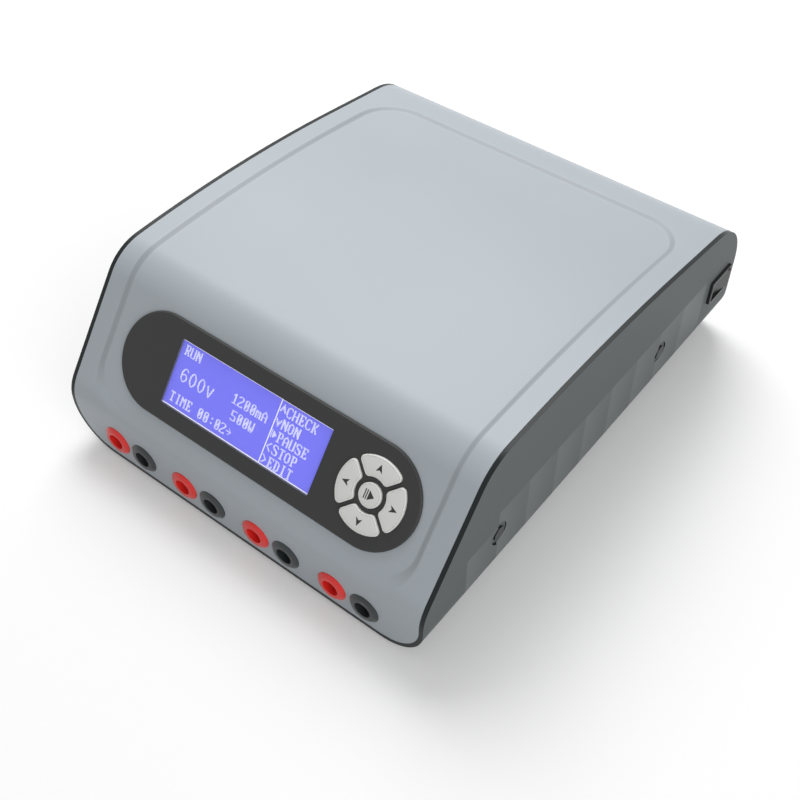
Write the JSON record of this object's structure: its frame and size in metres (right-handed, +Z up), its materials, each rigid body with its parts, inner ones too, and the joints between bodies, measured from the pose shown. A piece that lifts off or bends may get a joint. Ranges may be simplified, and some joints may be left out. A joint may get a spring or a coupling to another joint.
{
  "type": "electrophoresis power supply",
  "caption": "Low bench power supply for gel electrophoresis with a sloped display panel, a round key pad, paired output sockets, a louvred tub and a side rocker switch.",
  "frame": {"origin": "middle of the case in plan, on the plane that the feet stand on", "axes": "+Z up, -Y out of the front face with the sockets, +X to the right seen from the front"},
  "size_m": [0.2527, 0.3137, 0.1088],
  "materials": {
    "cover_plastic": "fine satin texture",
    "tub_plastic": "fine satin texture",
    "panel_plastic": "satin",
    "window_acrylic": "clear",
    "display_blue": "lit from behind",
    "key_plastic": "satin",
    "black_rubber": "matte",
    "board_laminate": "satin solder mask",
    "red_plastic": "moulded gloss",
    "black_plastic": "moulded gloss",
    "grey_plastic": "moulded matte",
    "dark_red_plastic": "moulded gloss",
    "contact_brass": "turned",
    "plated_steel": "zinc plated",
    "panel_paint": "powder coat",
    "heatsink_aluminium": "extruded",
    "ferrite": "sintered matte",
    "winding_tape": "polyester tape",
    "capacitor_sleeve": "shrink sleeve",
    "fuse_glass": "clear tube"
  },
  "bodies": {
    "case": {"lower_tub": "tub_plastic", "top_cover": "cover_plastic", "socket_panel": "cover_plastic", "display_panel": "panel_plastic", "display_window": "window_acrylic", "display_glass": "display_blue", "display_frame": "grey_plastic", "key_mat": "black_rubber", "control_board": "board_laminate", "control_board_screws": "plated_steel", "socket_contacts": "contact_brass", "socket_nuts": "black_plastic", "output_board": "board_laminate", "switch_frame": "black_plastic", "switch_terminals": "contact_brass", "rear_panel": "panel_paint", "fan_frame": "black_plastic", "fan_guard": "plated_steel", "fan_screws": "plated_steel", "rear_panel_screws": "plated_steel", "mains_inlet": "black_plastic", "inlet_pins": "contact_brass", "power_board": "board_laminate", "power_board_screws": "plated_steel", "heat_sink": "heatsink_aluminium", "power_transistors": "black_plastic", "transformer_core": "ferrite", "transformer_winding": "winding_tape", "reservoir_capacitors": "capacitor_sleeve", "line_choke": "winding_tape", "rubber_feet": "black_rubber", "foot_screws": "plated_steel", "case_screws": "plated_steel", "socket_red_1": "red_plastic", "socket_black_1": "black_plastic", "socket_red_2": "red_plastic", "socket_black_2": "black_plastic", "socket_red_3": "red_plastic", "socket_black_3": "black_plastic", "socket_red_4": "red_plastic", "socket_black_4": "black_plastic"},
    "key_centre_body": {"key_centre": "key_plastic"},
    "key_up_body": {"key_up": "key_plastic"},
    "key_left_body": {"key_left": "key_plastic"},
    "key_down_body": {"key_down": "key_plastic"},
    "key_right_body": {"key_right": "key_plastic"},
    "rocker_body": {"rocker": "dark_red_plastic", "rocker_face": "grey_plastic"},
    "fan_rotor_body": {"fan_rotor": "black_plastic"},
    "fuse_drawer_body": {"fuse_drawer": "black_plastic", "fuses": "fuse_glass"}
  },
  "joints": [
    {"name": "key_centre_press", "type": "slide", "parent": "case", "child": "key_centre_body", "axis": [0, 0.7902, -0.6129], "range_m": [0, 0.0008], "stiffness_N_per_m": 400},
    {"name": "key_up_press", "type": "slide", "parent": "case", "child": "key_up_body", "axis": [0, 0.7902, -0.6129], "range_m": [0, 0.0008], "stiffness_N_per_m": 400},
    {"name": "key_left_press", "type": "slide", "parent": "case", "child": "key_left_body", "axis": [0, 0.7902, -0.6129], "range_m": [0, 0.0008], "stiffness_N_per_m": 400},
    {"name": "key_down_press", "type": "slide", "parent": "case", "child": "key_down_body", "axis": [0, 0.7902, -0.6129], "range_m": [0, 0.0008], "stiffness_N_per_m": 400},
    {"name": "key_right_press", "type": "slide", "parent": "case", "child": "key_right_body", "axis": [0, 0.7902, -0.6129], "range_m": [0, 0.0008], "stiffness_N_per_m": 400},
    {"name": "rocker_tilt", "type": "hinge", "parent": "case", "child": "rocker_body", "pos_m": [0.123, 0.1368, 0.0487], "axis": [0, 0, 1], "range_deg": [0, 26]},
    {"name": "fan_spin", "type": "hinge", "parent": "case", "child": "fan_rotor_body", "pos_m": [-0.048, 0.1433, 0.0315], "axis": [0, 1, 0], "continuous": true},
    {"name": "fuse_drawer_slide", "type": "slide", "parent": "case", "child": "fuse_drawer_body", "axis": [0, 1, 0], "range_m": [0, 0.016]}
  ]
}
